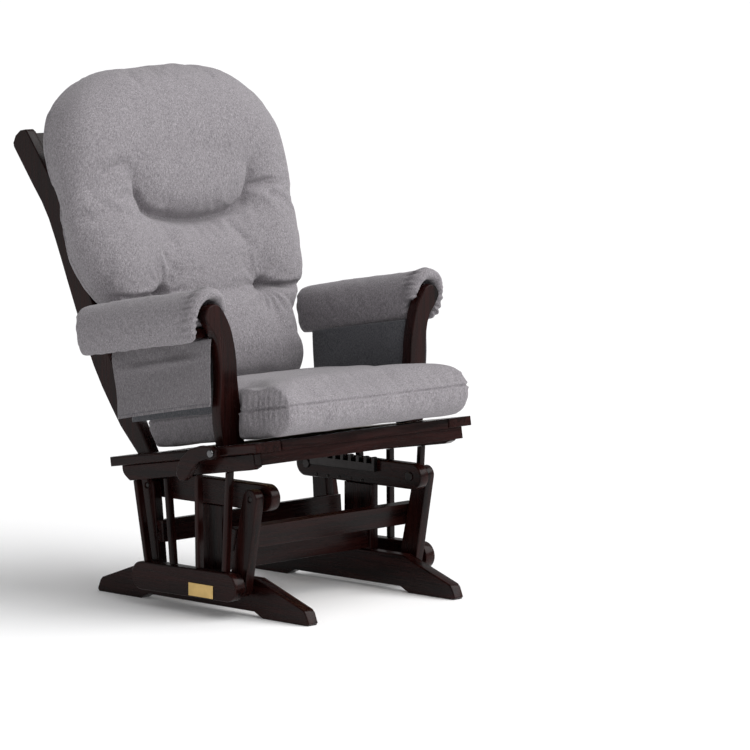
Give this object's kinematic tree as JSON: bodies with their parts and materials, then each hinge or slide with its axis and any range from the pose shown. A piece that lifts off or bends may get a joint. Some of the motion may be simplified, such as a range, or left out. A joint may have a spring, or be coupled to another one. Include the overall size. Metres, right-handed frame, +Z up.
{
  "type": "glider chair",
  "caption": "Wooden nursery glider chair: a fixed base carries the seat frame on swing arms, with a padded seat, reclining padded back, padded arms and a glide lock lever.",
  "frame": {"origin": "on the floor, at the middle of the chair's width and overall depth", "axes": "+Z up, the sitter faces -Y, +X is on the sitter's left hand and on the viewer's right from the front"},
  "size_m": [0.702, 0.8298, 1.053],
  "materials": {
    "espresso_wood": "dark espresso stain under satin lacquer",
    "deck_plywood": "raw plywood",
    "cushion_fabric": "heathered mid grey woven cloth over foam",
    "lining_fabric": "darker grey plain cloth",
    "pivot_steel": "dark zinc",
    "chrome_shaft": "polished",
    "brass_plate": "satin, blank"
  },
  "bodies": {
    "root": {"left_foot": "espresso_wood", "right_foot": "espresso_wood", "left_base_upright": "espresso_wood", "right_base_upright": "espresso_wood", "left_base_rail": "espresso_wood", "right_base_rail": "espresso_wood", "left_front_upper_bolt": "pivot_steel", "right_front_upper_bolt": "pivot_steel", "left_rear_upper_bolt": "pivot_steel", "right_rear_upper_bolt": "pivot_steel", "front_stretcher": "espresso_wood", "rear_stretcher": "espresso_wood", "lock_rack": "pivot_steel"},
    "front_arms": {"left_front_swing_arm": "espresso_wood", "right_front_swing_arm": "espresso_wood", "front_cross_board": "espresso_wood"},
    "rear_arms": {"left_rear_swing_arm": "espresso_wood", "right_rear_swing_arm": "espresso_wood", "rear_cross_board": "espresso_wood"},
    "carriage": {"left_lower_board": "espresso_wood", "right_lower_board": "espresso_wood", "left_front_lower_bolt": "pivot_steel", "right_front_lower_bolt": "pivot_steel", "left_rear_lower_bolt": "pivot_steel", "right_rear_lower_bolt": "pivot_steel", "left_spindle_1": "espresso_wood", "right_spindle_1": "espresso_wood", "left_spindle_2": "espresso_wood", "right_spindle_2": "espresso_wood", "left_spindle_3": "espresso_wood", "right_spindle_3": "espresso_wood", "left_spindle_4": "espresso_wood", "right_spindle_4": "espresso_wood", "left_side_rail": "espresso_wood", "right_side_rail": "espresso_wood", "left_apron": "espresso_wood", "right_apron": "espresso_wood", "left_arm_post": "espresso_wood", "right_arm_post": "espresso_wood", "left_arm_rest": "espresso_wood", "right_arm_rest": "espresso_wood", "left_arm_pad": "cushion_fabric", "right_arm_pad": "cushion_fabric", "left_arm_sling": "lining_fabric", "right_arm_sling": "lining_fabric", "front_rail": "espresso_wood", "rear_rail": "espresso_wood", "seat_deck": "deck_plywood", "back_hinge_rod": "pivot_steel", "seat_cushion": "cushion_fabric", "name_plate": "brass_plate"},
    "lock_lever": {"lock_lever": "espresso_wood", "lock_shaft": "chrome_shaft"},
    "back": {"left_back_post": "espresso_wood", "right_back_post": "espresso_wood", "left_back_slat": "espresso_wood", "right_back_slat": "espresso_wood", "crest_rail": "espresso_wood", "lower_back_rail": "espresso_wood", "back_cushion": "cushion_fabric"}
  },
  "joints": [
    {"name": "glide", "type": "hinge", "parent": "root", "child": "front_arms", "pos_m": [0, -0.28689, 0.236], "axis": [1, 0, 0], "range_deg": [-12, 12]},
    {"name": "rear_swing", "type": "hinge", "parent": "root", "child": "rear_arms", "pos_m": [0, 0.00211, 0.236], "axis": [1, 0, 0], "range_deg": [-12, 12]},
    {"name": "seat_swing", "type": "hinge", "parent": "front_arms", "child": "carriage", "pos_m": [0, -0.25189, 0.06403], "axis": [1, 0, 0], "range_deg": [-15, 15]},
    {"name": "glide_lock", "type": "hinge", "parent": "carriage", "child": "lock_lever", "pos_m": [0, -0.25289, 0.3286], "axis": [-1, 0, 0], "range_deg": [0, 9.5]},
    {"name": "recline", "type": "hinge", "parent": "carriage", "child": "back", "pos_m": [0, 0.02111, 0.2877], "axis": [-1, 0, 0], "range_deg": [0, 15]}
  ],
  "couplings": [
    {"joint": "rear_swing", "follows": "glide", "ratio": 0.9798},
    {"joint": "seat_swing", "follows": "glide", "ratio": -1.2056}
  ]
}
